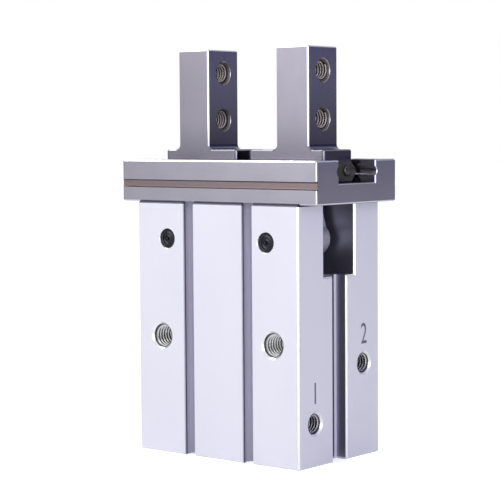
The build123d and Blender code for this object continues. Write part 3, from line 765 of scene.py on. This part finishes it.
# %% A piece of its own
def make_piece(name, mesh, finish, body):
    """Turns a bmesh into a piece that has a finish and moves with a body."""
    bmesh.ops.recalc_face_normals(mesh, faces=mesh.faces)
    data = bpy.data.meshes.new(name)
    mesh.to_mesh(data)
    mesh.free()
    piece = bpy.data.objects.new(name, data)
    bpy.context.scene.collection.objects.link(piece)
    piece.data.materials.append(finishes[finish])
    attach(piece, body)
    return piece


# %% [markdown]
# A tapped hole shows its thread as a spiral of bright and dark lines. CAD leaves the hole
# plain, at the thread's outer diameter, so the crest has to be added inside it. A relief in
# the shading could hint at it, but seen across the hole the crests stand out from the wall,
# so they are real. The crest is one long ridge: a small trapezium, spun about the hole's
# axis while it moves forward by one pitch each turn. The Screw modifier could do it too, but
# spin turns and moves in one step and closes the ridge at both ends.

# %% Shape of a crest
thread_steps = 30
run_in_steps = 14
crest_height_share = 0.54     # of the pitch, as metric threads have it
crest_flat_share = 0.25
root_flat_share = 0.125
ridge_root = 0.02 * MM        # the ridge starts this far inside the wall


def ridge_profile(mesh, start, across, inward, radius, pitch):
    """The trapezium of a thread's crest: its root in the wall and its flat towards the axis."""
    root_half = (1 - root_flat_share) * pitch / 2
    crest_half = crest_flat_share * pitch / 2
    root, crest = radius + ridge_root, radius - crest_height_share * pitch
    corners = ((root, -root_half), (crest, -crest_half), (crest, crest_half), (root, root_half))
    return mesh.faces.new(
        [mesh.verts.new(start + across * r + inward * (along + root_half)) for r, along in corners]
    )


def mark_crests(mesh, start, inward, crest_height):
    """Gives each vertex its crest value, and lets the crest grow out of the wall."""
    mesh.verts.ensure_lookup_table()
    crest_layer = mesh.verts.layers.float.new("crest")
    for number, vert in enumerate(mesh.verts):
        step, corner = divmod(number, 4)
        on_crest = corner in (1, 2)
        vert[crest_layer] = 1.0 if on_crest else 0.0
        if on_crest and step < run_in_steps:
            out = vert.co - start
            out = (out - inward * out.dot(inward)).normalized()
            vert.co += out * crest_height * (1 - step / run_in_steps)


print("crest of a 1 mm pitch, in mm:", crest_height_share)

# %% [markdown]
# The trapezium has four corners, and spin repeats them in the same order at every step. So
# the number of a vertex tells which corner it is and how far along the ridge it stands. The
# crests could be painted by hand as a vertex group, but the numbers do it for every thread.
# Over its first half turn the ridge grows out of the wall, as a tap leaves it.

# %% A thread
def thread(name, start, inward, radius, pitch, length, finish, body):
    """The crest of a tapped hole, from a start point on the axis, inward along a unit vector."""
    start, inward = Vector(start), Vector(inward)
    mesh = bmesh.new()
    profile = ridge_profile(mesh, start, inward.orthogonal().normalized(), inward, radius, pitch)
    turns = (length - (1 - root_flat_share) * pitch) / pitch
    steps = round(turns * thread_steps)
    bmesh.ops.spin(
        mesh,
        geom=[profile, *profile.edges, *profile.verts],
        cent=start,
        axis=inward,
        dvec=inward * (pitch * turns / steps),
        angle=math.tau * turns,
        steps=steps,
    )
    mark_crests(mesh, start, inward, crest_height_share * pitch)
    piece = make_piece(name, mesh, finish, body)
    for face in piece.data.polygons:
        face.use_smooth = False
    print(name, "turns:", round(turns, 1), "faces:", len(piece.data.polygons))


# %% [markdown]
# The record names each threaded mount with its place and size, so the threads of the two
# mounting holes, the base, the ports and the fingers follow it. Their places could be typed
# in again, but then they would stay behind when the model changes. M5 has a pitch of 0.8 mm
# and M6 a pitch of 1 mm. The thread starts behind the chamfer at the mouth of the hole.

# %% Cut the threads of the body
m5_radius, m5_pitch = 2.5 * MM, 0.8 * MM
m6_radius, m6_pitch, m6_depth = 3.0 * MM, 1.0 * MM, 12.0 * MM
mouth = 0.25 * MM

front_height = mounts["front_mounting"]["pos_m"][2]
front_spacing = mounts["front_mounting"]["dims"]["spacing_x_mm"] * MM
base_spacing = mounts["base_mounting"]["dims"]["spacing_x_mm"] * MM
for side_name, side in (("right", 1), ("left", -1)):
    x = side * front_spacing / 2
    thread(f"{side_name}_front_thread", (x, body_low.y + mouth, front_height), (0, 1, 0),
           m6_radius, m6_pitch, m6_depth - mouth, "cut_aluminium", "base")
    x = side * base_spacing / 2
    thread(f"{side_name}_base_thread", (x, 0, mouth), (0, 0, 1),
           m6_radius, m6_pitch, m6_depth - mouth, "cut_aluminium", "base")

port_depth = mounts["lower_port"]["dims"]["length_mm"] * MM
for port in ("lower_port", "upper_port"):
    _, y, z = mounts[port]["pos_m"]
    thread(f"{port}_thread", (body_high.x - mouth, y, z), (-1, 0, 0),
           m5_radius, m5_pitch, port_depth - mouth, "cut_aluminium", "base")

# %% [markdown]
# The holes of a finger go right through its tab, so their threads are as long as the tab is
# thick, less the chamfer at both ends. One mesh could be copied four times, but the left
# finger's holes run the other way, so each thread is spun in its own place.

# %% Cut the threads of the fingers
for side_name, side in (("right", 1), ("left", -1)):
    holes = mounts[f"{side_name}_finger_holes"]
    inner_x, _, holes_z = holes["pos_m"]
    for hole_name, step in (("lower", -0.5), ("upper", 0.5)):
        z = holes_z + step * holes["dims"]["spacing_y_mm"] * MM
        thread(f"{side_name}_{hole_name}_finger_thread", (inner_x + side * mouth, 0, z), (side, 0, 0),
               m5_radius, m5_pitch, tab_thickness - 2 * mouth, "cut_steel",
               f"{side_name}_finger_group")

# %% [markdown]
# Each air port has a mark above it, burnt on by a laser: a thin dark grey sign, not cut
# deep. Here the marks are the plain digits 1 and 2. The laser roughens the oxide, so the
# mark is matt and not metallic. A mask on the body could colour it, but a digit's outline
# is hard to write as a mask, so the mark is a thin piece with a material of its own.

# %% Finish of the port marks
tree, shader, place = start_finish("laser_mark", "#5E5E6C", 0.0, 0.6)
tint(tree, shader, grain(tree, place, 0.3), "#565664", "#6A6A78")
print("all finishes with the marks:", len(finishes))

# %% [markdown]
# The outline of a digit could be drawn point by point, but Blender's own letters have it. So
# the digit is set as text and made into a flat mesh, which stands on its foot, is centred
# and is one unit high.

# %% A digit as a mesh
mark_height = 5.2 * MM
mark_width_share = 0.72
mark_thickness = 0.03 * MM
mark_above_port = 5.0 * MM
same_point = 0.0001           # of the text's own size


def flat_digit(name, digit):
    """A digit as a flat mesh in the XY plane, one unit high, on its foot and centred."""
    letters = bpy.data.curves.new(name, "FONT")
    letters.body = digit
    text = bpy.data.objects.new(name + "_text", letters)
    bpy.context.scene.collection.objects.link(text)
    bpy.context.view_layer.update()
    outline = bpy.data.meshes.new_from_object(text)
    bpy.data.objects.remove(text)
    mesh = bmesh.new()
    mesh.from_mesh(outline)
    bpy.data.meshes.remove(outline)
    bmesh.ops.remove_doubles(mesh, verts=mesh.verts, dist=same_point)
    along = [vert.co.x for vert in mesh.verts]
    up = [vert.co.y for vert in mesh.verts]
    foot_middle = Vector(((min(along) + max(along)) / 2, min(up), 0))
    for vert in mesh.verts:
        vert.co = (vert.co - foot_middle) / (max(up) - min(up))
    return mesh


print("a mark is mm high:", round(mark_height / MM, 1))

# %% [markdown]
# The marks stand on the right end of the body, each above its port. The text object could
# be turned and moved there, but a piece keeps its place in its mesh, so the points are
# turned, scaled and moved themselves, and then given a little thickness.

# %% Place the port marks
def port_mark(name, digit, y, z):
    """A digit on the right end face, centred on y, with its foot at z."""
    mesh = flat_digit(name, digit)
    for vert in mesh.verts:
        across = vert.co.x * mark_height * mark_width_share
        vert.co = Vector((body_high.x, y + across, z + vert.co.y * mark_height))
    raised = bmesh.ops.extrude_face_region(mesh, geom=mesh.faces[:])
    for vert in raised["geom"]:
        if isinstance(vert, bmesh.types.BMVert):
            vert.co.x += mark_thickness
    piece = make_piece(name, mesh, "laser_mark", "base")
    print(name, "faces:", len(piece.data.polygons))


for port, digit in (("lower_port", "1"), ("upper_port", "2")):
    _, y, z = mounts[port]["pos_m"]
    port_mark(f"{port}_mark", digit, y, z + mark_above_port)
